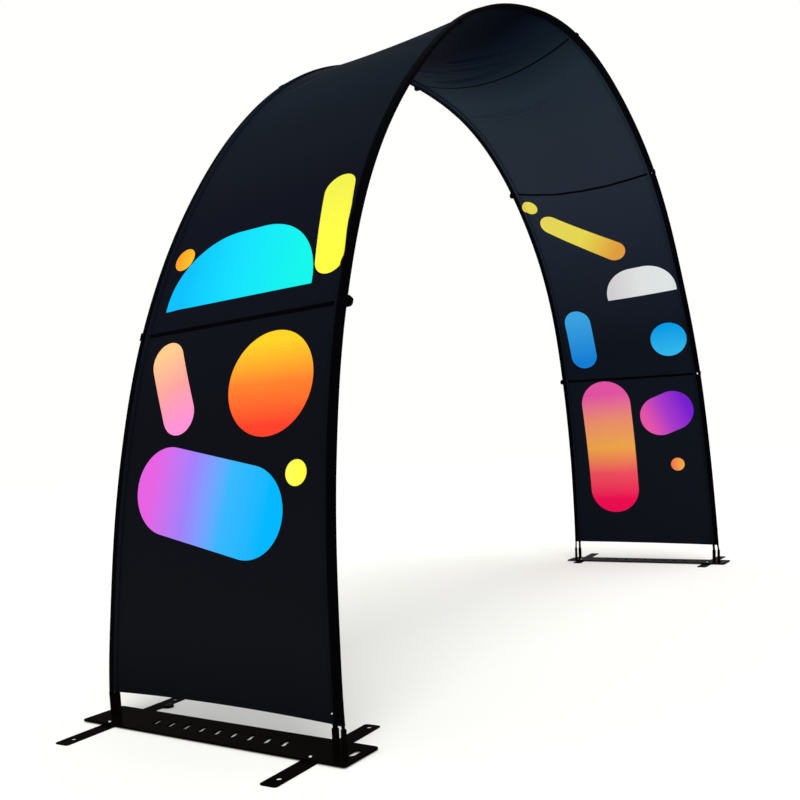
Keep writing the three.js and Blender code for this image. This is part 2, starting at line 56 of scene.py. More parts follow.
camera_data = bpy.data.cameras.new("camera")
camera = bpy.data.objects.new("camera", camera_data)
bpy.context.scene.collection.objects.link(camera)
bpy.context.scene.camera = camera
camera_data.lens = lens
camera_data.sensor_width = 36
camera_data.shift_x = 0.075
camera_data.shift_y = 0.175
camera_data.clip_end = 200
level = Euler((math.pi / 2 + eye_turn["pitch"], 0, eye_turn["yaw"] - math.pi / 2)).to_matrix()
camera.rotation_euler = (level @ Euler((0, 0, eye_turn["roll"])).to_matrix()).to_euler()
camera.location = eye

# ---------- sizes ----------

# The arch's line: distance from the middle of the floor, every eighth from a foot to the crown.
arch_reach = {
    "near": [2440, 2460, 2535, 2650, 2775, 2890, 2990, 3040, 3065],
    "far": [2460, 2460, 2515, 2620, 2760, 2900, 3005, 3060, 3065],
}
# Half the cloth's width, in sixths of each leg from its foot to the crown.
half_width = {
    "near": [575, 535, 500, 470, 475, 475, 480],
    "far": [570, 545, 520, 490, 480, 470, 480],
}
# How far the cloth's middle is drawn towards the inside of the arch, in quarters of each leg.
cloth_sag = {
    "near": [0, 0, 0, 15, 95],
    "far": [0, 0, 30, 75, 95],
}
# The cross seams, along the line from the near foot.
seams = [
    {"name": "near_low", "front": 1505, "back": 1505},
    {"name": "near_high", "front": 3075, "back": 3075},
    {"name": "crown", "front": 4435, "back": 4425},
    {"name": "far_high", "front": 5810, "back": 5735},
    {"name": "far_low", "front": 7340, "back": 7305},
]
panel_names = ["near_low", "near_middle", "near_top", "far_top", "far_middle", "far_low"]
near_hem = {"front": 115, "back": 105, "rise": 11}
far_hem = {"front": 142, "back": 158, "rise": 3}
hem_fold = 22
# The turned-in cloth beside a cross seam, which takes the painted shade of the sleeve band, counts as
# lying this far past the sewing line at the seam, and comes back to it at this rate.
seam_band_start, seam_band_rise = 32, 2
# The turned-up cloth of a hem thickens each face by a little, over a short step.
hem_step = {"run": 1.5, "rise": 0.6}

cloth = 1.5
thick_radius = 8.5
thin_radius = 6.0
pole_spacing = 30.0
sleeve_ease = 0.35
notch = {"length": 38, "thick_pole_gap": 0.5}
touch_gap = 0.3
tape_width, tape_thick = 7, 1.2

# Base plates: each one's middle measured from its poles' feet (x) and from the cloth's middle
# (y), its turn in degrees and the place of its carry slot across it.
plate = {"width": 203, "length": 1225, "thick": 8, "corner": 10}
plate_set = {
    "near": {"x": 15, "y": 6, "turn": 1.8, "slot_x": 16},
    "far": {"x": 4, "y": -9, "turn": 0, "slot_x": 44},
}
carry_slot = {"length": 68, "width": 28, "y": -571}
vents = {"count": 9, "length": 66, "width": 20, "pitch": 76, "middle_y": 5, "lean": 16}
bolt_hole_radius = 4
thick_foot, thin_foot = 529, 562
socket = {"height": 90, "wall": 3, "ease": 0.6, "upright_above": 1, "weld": 1}

# Foot bars: where each crosses its plate's middle line, its turn in degrees, how far its own
# middle and its bolt lie towards +X from the plate's, and its holes' distances from its ends.
bar = {"length": 642, "width": 65, "thick": 4, "corner": 12, "hole": 10}
foot_bars = [
    {"name": "near_back", "leg": "near", "y": 485, "turn": 5, "shift": -25, "bolt": -104,
     "from_ends": (62, 30)},
    {"name": "near_front", "leg": "near", "y": -461, "turn": 4, "shift": 13, "bolt": -72,
     "from_ends": (62, 30)},
    {"name": "far_back", "leg": "far", "y": 505, "turn": 7, "shift": 108, "bolt": -70,
     "from_ends": (30, 62)},
    {"name": "far_front", "leg": "far", "y": -495, "turn": 0, "shift": 65, "bolt": -70,
     "from_ends": (30, 62)},
]
plate_low = bar["thick"] + touch_gap
plate_top = plate_low + plate["thick"]

# Soft troughs that the pull of the poles leaves in the cloth, each from one point to another:
# distances along the line and across from the middle, then the trough's half width and depth.
creases = [
    {"along": (4010, 4320), "across": (50, -415), "half_width": 15, "depth": 9},
    {"along": (4144, 4372), "across": (111, -367), "half_width": 14, "depth": 9},
    {"along": (4322, 4338), "across": (294, -212), "half_width": 16, "depth": 10},
    {"along": (4916, 4868), "across": (395, -247), "half_width": 18, "depth": 11},
    {"along": (3940, 4180), "across": (380, 150), "half_width": 26, "depth": 3},
    {"along": (4560, 4700), "across": (-430, -180), "half_width": 30, "depth": 3},
    {"along": (5500, 5790), "across": (380, 120), "half_width": 38, "depth": 4},
    {"along": (5560, 5800), "across": (-410, -170), "half_width": 32, "depth": 4},
    {"along": (7120, 7310), "across": (440, 210), "half_width": 30, "depth": 3},
    {"along": (6980, 7330), "across": (-455, -330), "half_width": 26, "depth": 3},
    {"along": (1320, 1500), "across": (-470, -300), "half_width": 28, "depth": 3},
    {"along": (1500, 1740), "across": (455, 300), "half_width": 34, "depth": 3},
    {"along": (2780, 3060), "across": (-430, -180), "half_width": 42, "depth": 4},
    {"along": (2860, 3060), "across": (430, 230), "half_width": 36, "depth": 3},
    {"along": (130, 420), "across": (-520, -380), "half_width": 30, "depth": 3},
    {"along": (120, 330), "across": (530, 420), "half_width": 26, "depth": 3},
    {"along": (8430, 8640), "across": (420, 515), "half_width": 28, "depth": 3},
]

# ---------- the arch's line ----------


def smooth(values, share):
    """A smooth curve through evenly spaced values, level where it ends at the crown."""
    values = np.asarray(values, float)
    last = len(values) - 1
    place = np.clip(share, 0, 1) * last
    i = np.minimum(place.astype(int), last - 1)
    t = place - i
    spread = np.concatenate([[2 * values[0] - values[1]], values, [values[-2]]])
    a, b, c, d = (spread[i + k] for k in range(4))
    bend = t**2 * (a - 2.5 * b + 2 * c - d / 2)
    return b + t * (c - a) / 2 + bend + t**3 * (-a / 2 + 1.5 * b - 1.5 * c + d / 2)


line_steps = 1440


def leg_line(leg):
    share = np.linspace(0, 1, line_steps + 1)
    reach = smooth(arch_reach[leg], share)
    x = reach * np.cos(share * math.pi / 2) * (-1 if leg == "near" else 1)
    z = reach * np.sin(share * math.pi / 2)
    length = np.concatenate([[0], np.cumsum(np.hypot(np.diff(x), np.diff(z)))])
    return {"x": x, "z": z, "length": length}


near_leg, far_leg = leg_line("near"), leg_line("far")
near_length, far_length = near_leg["length"][-1], far_leg["length"][-1]
line_length = near_length + far_length


def line_point(along):
    on_near = along <= near_length
    left = line_length - along
    return [
        np.where(
            on_near,
            np.interp(along, near_leg["length"], near_leg[axis]),
            np.interp(left, far_leg["length"], far_leg[axis]),
        )
        for axis in ("x", "z")
    ]


def station(along):
    """The line's point, the direction facing out of the arch, the half width and the sag."""
    along = np.asarray(along, float)
    on_near = along <= near_length
    x, z = line_point(along)
    before, after = line_point(along - 1), line_point(along + 1)
    run_x, run_z = after[0] - before[0], after[1] - before[1]
    span = np.hypot(run_x, run_z)
    near_share, far_share = along / near_length, (line_length - along) / far_length
    return {
        "x": x,
        "z": z,
        "out_x": -run_z / span,
        "out_z": run_x / span,
        "half": np.where(on_near, smooth(half_width["near"], near_share),
                         smooth(half_width["far"], far_share)),
        "sag": np.where(on_near, smooth(cloth_sag["near"], near_share),
                        smooth(cloth_sag["far"], far_share)),
    }


near_low, near_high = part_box("base_plate_near")
row_shift = (near_low.x + near_high.x) / 2 / MM + arch_reach["near"][0] - plate_set["near"]["x"]


def to_row(x, y, z):
    """Points in the row frame, in metres."""
    x, y, z = np.broadcast_arrays(x + row_shift, y, z)
    return np.stack([x, y, z], axis=-1) * MM


# Distances in from the cloth's edge.
thin_inside = thin_radius + sleeve_ease + cloth
thick_inside = thin_inside + pole_spacing
sleeve_root = thick_inside + thick_radius + sleeve_ease + cloth


# A crease fades out at its ends, and a lower ridge lies on each side of its trough.
crease_end = {"start": 0.08, "run": 0.84, "power": 0.7}
crease_ridge = {"share": 0.45, "away": 2.1}


def trough(along, across):
    """How far the creases draw the cloth inwards at each point."""
    depth = np.zeros(np.broadcast(along, across).shape)
    for crease in creases:
        start = np.array([crease["along"][0], crease["across"][0]], float)
        run = np.array([crease["along"][1], crease["across"][1]], float) - start
        share = ((along - start[0]) * run[0] + (across - start[1]) * run[1]) / (run @ run)
        held = np.clip(share, 0, 1)
        away = np.hypot(along - start[0] - held * run[0], across - start[1] - held * run[1])
        fade_place = np.clip(crease_end["start"] + crease_end["run"] * held, 0, 1)
        fade = np.sin(math.pi * fade_place) ** crease_end["power"]
        widths_away = away / crease["half_width"]
        valley = np.exp(-(widths_away**2))
        ridge = crease_ridge["share"] * np.exp(-((widths_away - crease_ridge["away"]) ** 2))
        depth += crease["depth"] * fade * (valley - ridge)
    return depth


# ---------- meshes ----------


def new_piece(name, points, faces, material, uv_maps=None):
    """One mesh object that rides on the frame. Each uv map gives two numbers for every point."""
    mesh = bpy.data.meshes.new(name)
    mesh.from_pydata([tuple(p) for p in points], [], [tuple(f) for f in faces])
    mesh.validate()
    for map_name, values in (uv_maps or {}).items():
        layer = mesh.uv_layers.new(name=map_name)
        corner = np.zeros(len(mesh.loops), np.int32)
        mesh.loops.foreach_get("vertex_index", corner)
        layer.data.foreach_set("uv", np.asarray(values, np.float32)[corner].ravel())
    mesh.polygons.foreach_set("use_smooth", np.ones(len(mesh.polygons), bool))
    mesh.set_sharp_from_angle(angle=math.radians(40))
    mesh.materials.append(material)
    piece = bpy.data.objects.new(name, mesh)
    bpy.context.scene.collection.objects.link(piece)
    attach(piece, "root")
    return piece


def ring_faces(rings, count, start=0):
    """Quads between consecutive rings of points, each ring closed."""
    k, i = np.meshgrid(np.arange(rings - 1), np.arange(count), indexing="ij")
    a = start + k * count + i
    b = start + k * count + (i + 1) % count
    return np.stack([a, b, b + count, a + count], axis=-1).reshape(-1, 4)


def end_faces(outer, inner):
    """Quads that close a tube's wall between an outer and an inner ring of points."""
    count = len(outer)
    return [
        (outer[i], outer[(i + 1) % count], inner[(i + 1) % count], inner[i]) for i in range(count)
    ]


def facing_out(points, faces):
    """The same faces, turned over where the closed body that they make would be inside out."""
    corners = [points[np.array([face[k] for face in faces])] for k in range(3)]
    volume = np.einsum("ij,ij->", corners[0], np.cross(corners[1], corners[2]))
    return faces if volume > 0 else [tuple(reversed(face)) for face in faces]


class Shell:
    """Closed bodies gathered into one mesh, with the place on the flat cloth of every point."""

    def __init__(self):
        self.points, self.faces, self.place, self.edges = [], [], [], []
        self.count = 0

    def add(self, points, faces, place, edges):
        faces = facing_out(points, [tuple(int(v) for v in face) for face in faces])
        self.faces += [tuple(v + self.count for v in face) for face in faces]
        self.points.append(points)
        self.place.append(place)
        self.edges.append(edges)
        self.count += len(points)

    def piece(self, name, material):
        uv_maps = {"place": np.concatenate(self.place), "edges": np.concatenate(self.edges)}
        return new_piece(name, np.concatenate(self.points), self.faces, material, uv_maps)


# ---------- cloth panels ----------

ends = [near_hem, *seams, {edge: line_length - far_hem[edge] for edge in ("front", "back")}]
# How finely each panel is divided across and along, and each round of a sleeve.
across_count, along_count = 110, 170
sleeve_arc = 12


def hem_distance(along, across):
    """How far each point is from the nearer free hem."""
    first = along - (ends[0]["front"] * (1 - across) + ends[0]["back"] * (1 + across)) / 2
    last = (ends[-1]["front"] * (1 - across) + ends[-1]["back"] * (1 + across)) / 2 - along
    bow = 1 - across**2
    return np.minimum(first - near_hem["rise"] * bow, last - far_hem["rise"] * bow)


def membrane(index):
    """The open cloth between the sleeves, as one thin closed body."""
    start, end = ends[index], ends[index + 1]
    share = np.linspace(0, 1, along_count + 1)[:, None]
    across = np.linspace(-1, 1, across_count + 1)[None, :]
    front = start["front"] + (end["front"] - start["front"]) * share
    back = start["back"] + (end["back"] - start["back"]) * share
    along = (front * (1 - across) + back * (1 + across)) / 2
    bow = 1 - across**2
    if index == 0:
        along = along + near_hem["rise"] * bow * (1 - share) ** 4
    if index == len(panel_names) - 1:
        along = along - far_hem["rise"] * bow * share**4
    at = station(along)
    reach = at["half"] - sleeve_root + cloth / 2
    y = across * reach
    depth = at["sag"] * (1 - across**2) + trough(along, y) * (1 - across**8)
    from_hem = hem_distance(along, across)
    fold = np.clip((hem_fold - from_hem) / hem_step["run"], 0, 1) * hem_step["rise"]
    layers = []
    for side in (1, -1):
        out = side * (cloth / 2 + fold) - depth
        layers.append(to_row(at["x"] + at["out_x"] * out, y, at["z"] + at["out_z"] * out))
    rows, columns = along_count + 1, across_count + 1
    outer = np.arange(rows * columns).reshape(rows, columns)
    inner = outer + rows * columns
    faces = []
    for grid, flip in ((outer, False), (inner, True)):
        quads = np.stack([grid[:-1, :-1], grid[:-1, 1:], grid[1:, 1:], grid[1:, :-1]], -1)
        quads = quads.reshape(-1, 4)
        faces += [tuple(q[::-1]) if flip else tuple(q) for q in quads]
    rim_out = np.concatenate([outer[0, :-1], outer[:-1, -1], outer[-1, :0:-1], outer[:0:-1, 0]])
    rim_in = np.concatenate([inner[0, :-1], inner[:-1, -1], inner[-1, :0:-1], inner[:0:-1, 0]])
    for i in range(len(rim_out)):
        j = (i + 1) % len(rim_out)
        faces.append((rim_out[j], rim_out[i], rim_in[i], rim_in[j]))
    flat = np.stack(np.broadcast_arrays(y, along), -1).reshape(-1, 2) * MM
    from_root = (1 - np.abs(across)) * reach
    length = end["front"] - start["front"]
    from_seam = np.minimum(share if index > 0 else 1,
                           1 - share if index < len(panel_names) - 1 else 1) * length
    from_sewing = np.minimum(from_root, seam_band_rise * from_seam - seam_band_start)
    near_edges = np.stack(np.broadcast_arrays(from_sewing, from_hem), -1).reshape(-1, 2) * MM
    points = np.concatenate([layer.reshape(-1, 3) for layer in layers])
    return points, faces, np.concatenate([flat, flat]), np.concatenate([near_edges, near_edges])


sleeve_turn = math.acos((thick_radius - thin_radius) / pole_spacing)


def sleeve_outline(extra):
    """The sleeve's section round both poles: distances in from the edge and out of the arch."""
    thick, thin = thick_radius + extra, thin_radius + extra
    thick_turns = np.linspace(math.pi, sleeve_turn, sleeve_arc)
    thin_turns = np.linspace(sleeve_turn, -sleeve_turn, sleeve_arc)
    back_turns = np.linspace(-sleeve_turn, -math.pi, sleeve_arc)[:-1]
    turns = np.concatenate([thick_turns, thin_turns, back_turns])
    on_thin = np.arange(len(turns)) // sleeve_arc == 1
    radius = np.where(on_thin, thin, thick)
    centre = np.where(on_thin, thin_inside, thick_inside)
    return centre - radius * np.cos(turns), radius * np.sin(turns)


def notched_outline(extra):
    """The sleeve's section where the thin pole is bare, as a path open towards the edge."""
    thick, thin = thick_radius + extra, thin_radius + extra
    turns = np.concatenate([np.linspace(-sleeve_turn, -math.pi, sleeve_arc),
                            np.linspace(math.pi, sleeve_turn, sleeve_arc)[1:]])
    inside, out = thick_inside - thick * np.cos(turns), thick * np.sin(turns)
    cut = thick_inside - thick_radius - notch["thick_pole_gap"]
    thin_side = thin_inside - thin * math.cos(sleeve_turn)
    share = (inside[0] - cut) / (inside[0] - thin_side)
    lip = (thick + (thin - thick) * share) * math.sin(sleeve_turn)
    return np.concatenate([[cut], inside, [cut]]), np.concatenate([[-lip], out, [lip]])


def sleeve(index, side):
    """One edge sleeve of a panel, as closed tube walls: round both poles along most of its
    length, and round the thick pole alone beside each cross seam."""
    edge = "front" if side < 0 else "back"
    start, end = ends[index][edge], ends[index + 1][edge]
    low = start if index == 0 else start + notch["length"] / 2
    high = end if index == len(panel_names) - 1 else end - notch["length"] / 2
    stretches = [(low, high, along_count, sleeve_outline)]
    if index > 0:
        stretches.append((start + touch_gap / 2, low, 4, notched_outline))
    if index < len(panel_names) - 1:
        stretches.append((high, end - touch_gap / 2, 4, notched_outline))
    for low, high, steps, outline in stretches:
        yield sleeve_stretch(side, np.linspace(low, high, steps + 1)[:, None], outline)


def sleeve_stretch(side, along, outline):
    """A tube wall along one stretch: points, faces, and the places for the print."""
    at = station(along)
    from_hem = hem_distance(along[:, 0], side)[:, None]
    rings, places, edges = [], [], []
    for extra in (sleeve_ease + cloth, sleeve_ease):
        inside, out = outline(extra)
        y = side * (at["half"] - inside)
        rings.append(to_row(at["x"] + at["out_x"] * out, y, at["z"] + at["out_z"] * out))
        places.append(np.stack(np.broadcast_arrays(y, along), -1) * MM)
        edges.append(np.stack(np.broadcast_arrays(inside[None] - sleeve_root, from_hem), -1) * MM)
    rows, count = rings[0].shape[:2]
    if outline is notched_outline:
        # one loop out along the path and back along its inner face
        points, place, edge = (
            np.concatenate([two[0], two[1][:, ::-1]], axis=1).reshape(-1, two[0].shape[-1])
            for two in (rings, places, edges))
        faces = [tuple(f) for f in ring_faces(rows, 2 * count)]
        last = (rows - 1) * 2 * count
        for i in range(count - 1):
            j = 2 * count - 1 - i
            faces.append((i, j, j - 1, i + 1))
            faces.append((last + i, last + i + 1, last + j - 1, last + j))
    else:
        points, place, edge = (
            np.concatenate([ring.reshape(-1, ring.shape[-1]) for ring in two])
            for two in (rings, places, edges))
        faces = [tuple(f) for f in ring_faces(rows, count)]
        faces += [tuple(f[::-1]) for f in ring_faces(rows, count, rows * count)]
        outer, inner = np.arange(count), np.arange(count) + rows * count
        faces += [f[::-1] for f in end_faces(outer, inner)]
        faces += end_faces(outer + (rows - 1) * count, inner + (rows - 1) * count)
    return points, faces, place, edge


def flat_width(index):
    """The width that a panel was cut to: the open cloth and both sleeves' way round the poles."""
    middle = (ends[index]["front"] + ends[index + 1]["front"]) / 2
    open_width = 2 * (float(station(middle)["half"]) - sleeve_root)
    round_poles = 2 * pole_spacing + math.pi * (thick_radius + thin_radius + 2 * sleeve_ease + cloth)
    return (open_width + 2 * round_poles) * MM


def flat_length(index):
    start, end = ends[index], ends[index + 1]
    return (end["front"] + end["back"] - start["front"] - start["back"]) / 2 * MM


# ---------- materials ----------


def linear(hex_colour):
    """A written sRGB colour as the linear values that the shaders take."""
    values = [int(hex_colour[i:i + 2], 16) / 255 for i in (1, 3, 5)]
    return tuple(
        [v / 12.92 if v <= 0.04045 else ((v + 0.055) / 1.055) ** 2.4 for v in values] + [1.0]
    )


def add_node(tree, kind, settings=None, links=None):
    """A new node with its own settings, input values and links."""
    node = tree.nodes.new(kind)
    for name, value in (settings or {}).items():
        if isinstance(name, int) or name in node.inputs:
            node.inputs[name].default_value = value
        else:
            setattr(node, name, value)
    for name, socket in (links or {}).items():
        tree.links.new(socket, node.inputs[name])
    return node


def new_material(name):
    material = bpy.data.materials.new(name)
    material.use_nodes = True
    tree = material.node_tree
    tree.nodes.clear()
    surface = add_node(tree, "ShaderNodeBsdfPrincipled")
    output = add_node(tree, "ShaderNodeOutputMaterial")
    tree.links.new(surface.outputs[0], output.inputs["Surface"])
    return material, tree, surface


def maths(tree, operation, a, b=None):
    """One sum on numbers or sockets."""
    node = add_node(tree, "ShaderNodeMath", {"operation": operation})
    for index, value in enumerate([a] if b is None else [a, b]):
        if isinstance(value, (int, float)):
            node.inputs[index].default_value = value
        else:
            tree.links.new(value, node.inputs[index])
    return node.outputs[0]


def colour_ramp(tree, factor, stops):
    """Colours that follow a factor, each stop a position and a written colour."""
    ramp = add_node(tree, "ShaderNodeValToRGB", links={0: factor})
    elements = ramp.color_ramp.elements
    while len(elements) < len(stops):
        elements.new(0.5)
    for element, (position, shade) in zip(elements, stops):
        element.position = position
        element.color = linear(shade)
    return ramp.outputs[0]


def printed_shape():
    """Node group for one printed shape: a bar with round ends, a disc, or either cut off flat."""
    group = bpy.data.node_groups.new("printed_shape", "ShaderNodeTree")
    for name, kind in [("Place", "NodeSocketVector"), ("Middle", "NodeSocketVector"),
                       ("Turn", "NodeSocketFloat"), ("Half Length", "NodeSocketFloat"),
                       ("Radius", "NodeSocketFloat"), ("Cut", "NodeSocketFloat")]:
        group.interface.new_socket(name, in_out="INPUT", socket_type=kind)
    for name in ("Mask", "Share"):
        group.interface.new_socket(name, in_out="OUTPUT", socket_type="NodeSocketFloat")
    given = add_node(group, "NodeGroupInput").outputs
    moved = add_node(group, "ShaderNodeVectorMath", {"operation": "SUBTRACT"},
                     {0: given["Place"], 1: given["Middle"]})
    spun = add_node(group, "ShaderNodeVectorRotate", {"rotation_type": "Z_AXIS"},
                    {"Vector": moved.outputs[0], "Angle": given["Turn"]})
    parts = add_node(group, "ShaderNodeSeparateXYZ", links={0: spun.outputs[0]}).outputs
    past = maths(group, "SUBTRACT", maths(group, "ABSOLUTE", parts["X"]), given["Half Length"])
    past = maths(group, "MAXIMUM", past, 0.0)
    squares = maths(group, "ADD", maths(group, "POWER", past, 2.0),
                    maths(group, "POWER", maths(group, "ABSOLUTE", parts["Y"]), 2.0))
    away = maths(group, "SUBTRACT", maths(group, "SQRT", squares), given["Radius"])
    below = maths(group, "SUBTRACT", given["Cut"], parts["Y"])
    outside = maths(group, "MAXIMUM", away, below)
    ink_edge = 0.0004
    mask = add_node(group, "ShaderNodeMapRange",
                    {"From Min": ink_edge, "From Max": -ink_edge}, {"Value": outside})
    reach = maths(group, "ADD", given["Half Length"], given["Radius"])
    share = maths(group, "DIVIDE", maths(group, "ADD", parts["X"], reach),
                  maths(group, "MULTIPLY", reach, 2.0))
    output = add_node(group, "NodeGroupOutput")
    group.links.new(mask.outputs[0], output.inputs["Mask"])
    group.links.new(share, output.inputs["Share"])
    return group


# The print's ground colour by the distance in metres along the line from the near foot: near black at
# both feet, and navy over the top and down the inside of the far leg. Part of it is painted light.
# Painted shade is darkest from 3.5 to 3.9 m, where the crown's near underside turns away. Painted
# sheen is lighter from 4.35 to 6.2 m, under the crown and down the far leg's inside.
ground_colours_and_painted_light = [
    (0.0, "#0A0D10"), (0.35, "#101216"), (0.65, "#101116"), (1.05, "#0D0F14"), (1.45, "#0F1119"),
    (2.0, "#0F121C"), (2.3, "#12161E"), (2.75, "#0E1721"), (3.5, "#060B14"), (3.9, "#040813"),
    (4.05, "#0A1220"), (4.35, "#15202B"), (4.75, "#24303C"), (5.3, "#29313D"), (5.7, "#29313E"),
    (6.2, "#232A38"), (7.05, "#121722"), (7.9, "#12161E"), (8.6, "#12141D"),
]

# The print: bars and discs, each placed by its middle across and along the cloth, with its turn
# in degrees, half length, radius, where it is cut off, and the colours that run along it.
no_cut = -9
print_table = [
    {"middle": (0.03, 1.60), "turn": 0, "half": 0.06, "radius": 0.30, "cut": 0.0,
     "colours": ["#14E5DD", "#14D3EE", "#0DB5FA"]},
    {"middle": (-0.37, 1.84), "turn": 82, "half": 0.15, "radius": 0.065, "cut": no_cut,
     "colours": ["#FCF240", "#E2E24A"]},
    {"middle": (-0.21, 1.25), "turn": 90, "half": 0.0, "radius": 0.19, "cut": no_cut,
     "colours": ["#FC3F2A", "#FE7C2D", "#FEC726"]},
    {"middle": (0.27, 1.275), "turn": 66, "half": 0.115, "radius": 0.08, "cut": no_cut,
     "colours": ["#FD8BCC", "#FE9C98", "#FFC087"]},
    {"middle": (0.05, 0.84), "turn": 12, "half": 0.20, "radius": 0.165, "cut": no_cut,
     "colours": ["#04AFFC", "#37AEFC", "#9A7AF0", "#DB5EDA"]},
    {"middle": (0.36, 1.83), "turn": 0, "half": 0.0, "radius": 0.05, "cut": no_cut,
     "colours": ["#FFB423", "#FE9729"]},
    {"middle": (-0.36, 0.93), "turn": 0, "half": 0.0, "radius": 0.045, "cut": no_cut,
     "colours": ["#FBF443", "#F1F456"]},
    {"middle": (0.10, 6.17), "turn": -38, "half": 0.24, "radius": 0.075, "cut": no_cut,
     "colours": ["#F8AF4A", "#FFF05B", "#FFEE66"]},
    {"middle": (0.39, 5.86), "turn": 0, "half": 0.0, "radius": 0.055, "cut": no_cut,
     "colours": ["#FFF05B", "#FFEE66"]},
    {"middle": (-0.20, 6.68), "turn": 180, "half": 0.04, "radius": 0.20, "cut": -0.02,
     "colours": ["#EAE7EE", "#F5FAFD", "#F3FAFF"]},
    {"middle": (0.31, 6.98), "turn": 90, "half": 0.13, "radius": 0.10, "cut": no_cut,
     "colours": ["#44B8FF", "#178DF2"]},
    {"middle": (-0.33, 7.06), "turn": 90, "half": 0.0, "radius": 0.125, "cut": no_cut,
     "colours": ["#0CA8FF", "#34C5FF"]},
    {"middle": (0.20, 7.86), "turn": 90, "half": 0.34, "radius": 0.19, "cut": no_cut,
     "colours": ["#F85DB6", "#FF9A77", "#FFB24F", "#FF5667", "#FC1059"]},
    {"middle": (-0.25, 7.62), "turn": 20, "half": 0.05, "radius": 0.15, "cut": no_cut,
     "colours": ["#8022E0", "#B240D9", "#F85DB6"]},
    {"middle": (-0.30, 8.02), "turn": 0, "half": 0.0, "radius": 0.05, "cut": no_cut,
     "colours": ["#FFB24F", "#FF804E"]},
]


# Stitches and knit, in metres. The stitch rows lie in from the sewing line and from the hem.
stitch = {"half_width": 0.0005, "pitch": 0.0034, "filled": 0.72, "raised": 3.0}
sleeve_row, hem_rows = 0.003, (0.018, 0.021)
knit_pitch = {"X": 0.00178, "Y": 0.00138}
wave_period = math.pi / 10  # the wave texture's own, at a scale of 1


def printed_cloth():
    """Fine warp-knit polyester, dye printed and stretched tight: matt, with a faint satin sheen, and
    painted sheen and shade in its ground colour along the cloth.
    """
    material, tree, surface = new_material("dye_printed_stretch_knit")
    place = add_node(tree, "ShaderNodeUVMap", {"uv_map": "place"}).outputs[0]
    edges = add_node(tree, "ShaderNodeUVMap", {"uv_map": "edges"}).outputs[0]
    where = add_node(tree, "ShaderNodeSeparateXYZ", links={0: place}).outputs
    share = maths(tree, "DIVIDE", where["Y"], line_length * MM)
    # ground colour along the cloth, with painted shade under the crown's near side and painted sheen
    # under the crown and down the far leg
    stops = [(along / (line_length * MM), shade) for along, shade in ground_colours_and_painted_light]
    colour = colour_ramp(tree, share, stops)
    group = printed_shape()
    for row in print_table:
        shape = add_node(tree, "ShaderNodeGroup", {"node_tree": group}, {})
        shape.inputs["Middle"].default_value = (*row["middle"], 0)
        shape.inputs["Turn"].default_value = math.radians(-row["turn"])
        shape.inputs["Half Length"].default_value = row["half"]
        shape.inputs["Radius"].default_value = row["radius"]
        shape.inputs["Cut"].default_value = row["cut"]
        tree.links.new(place, shape.inputs["Place"])
        steps = len(row["colours"]) - 1
        inks = [(0.1 + 0.8 * i / steps, shade) for i, shade in enumerate(row["colours"])]
        ink = colour_ramp(tree, shape.outputs["Share"], inks)
        inked = add_node(tree, "ShaderNodeMix", {"data_type": "RGBA"},
                         {0: shape.outputs["Mask"], 6: colour, 7: ink})
        colour = inked.outputs[2]
    # rows of stitches beside the sleeves and along the hems
    spot = add_node(tree, "ShaderNodeSeparateXYZ", links={0: edges}).outputs
    rows = []
    for distance, run, inset in ((spot["X"], where["Y"], sleeve_row),
                                 *((spot["Y"], where["X"], inset) for inset in hem_rows)):
        away = maths(tree, "ABSOLUTE", maths(tree, "SUBTRACT", distance, inset))
        near = maths(tree, "LESS_THAN", away, stitch["half_width"])
        turns = maths(tree, "FRACT", maths(tree, "MULTIPLY", run, 1 / stitch["pitch"]))
        dash = maths(tree, "LESS_THAN", turns, stitch["filled"])
        rows.append(maths(tree, "MULTIPLY", near, dash))
    thread = maths(tree, "MAXIMUM", maths(tree, "MAXIMUM", rows[0], rows[1]), rows[2])
    sewn = add_node(tree, "ShaderNodeMix", {"data_type": "RGBA", 7: linear("#08090B")},
                    {0: thread, 6: colour})
    # painted shade: the double cloth over the poles and beside the seams is darkened almost to black,
    # where the cloth turns round the poles and into the seams
    painted_shade_band = add_node(tree, "ShaderNodeMapRange",
                       {"From Min": -0.018, "From Max": -0.010, "To Min": 0.93, "To Max": 0.0},
                       {"Value": spot["X"]})
    banded = add_node(tree, "ShaderNodeMix", {"data_type": "RGBA", 7: linear("#020203")},
                      {0: painted_shade_band.outputs[0], 6: sewn.outputs[2]})
    tree.links.new(banded.outputs[2], surface.inputs["Base Color"])
    # knit: fine ribs along the cloth crossed by rows of loops
    ribs = [
        add_node(tree, "ShaderNodeTexWave", {"bands_direction": axis, "Scale": wave_period / pitch,
                                             "Distortion": 0.6, "Detail": 1.0}, {0: place})
        for axis, pitch in knit_pitch.items()
    ]
    knit = maths(tree, "ADD", ribs[0].outputs["Fac"], ribs[1].outputs["Fac"])
    relief = maths(tree, "ADD", knit, maths(tree, "MULTIPLY", thread, stitch["raised"]))
    bump = add_node(tree, "ShaderNodeBump", {"Strength": 0.35, "Distance": 0.00012},
                    {"Height": relief})
    tree.links.new(bump.outputs[0], surface.inputs["Normal"])
    surface.inputs["Roughness"].default_value = 0.6
    surface.inputs["Specular IOR Level"].default_value = 0.003
    return material


def seam_binding():
    """Flat woven black binding, duller than the cloth, so that each seam reads as a dark line."""
    material, tree, surface = new_material("woven_black_binding")
    surface.inputs["Base Color"].default_value = linear("#020203")
    surface.inputs["Roughness"].default_value = 0.85
    surface.inputs["Specular IOR Level"].default_value = 0.02
    return material


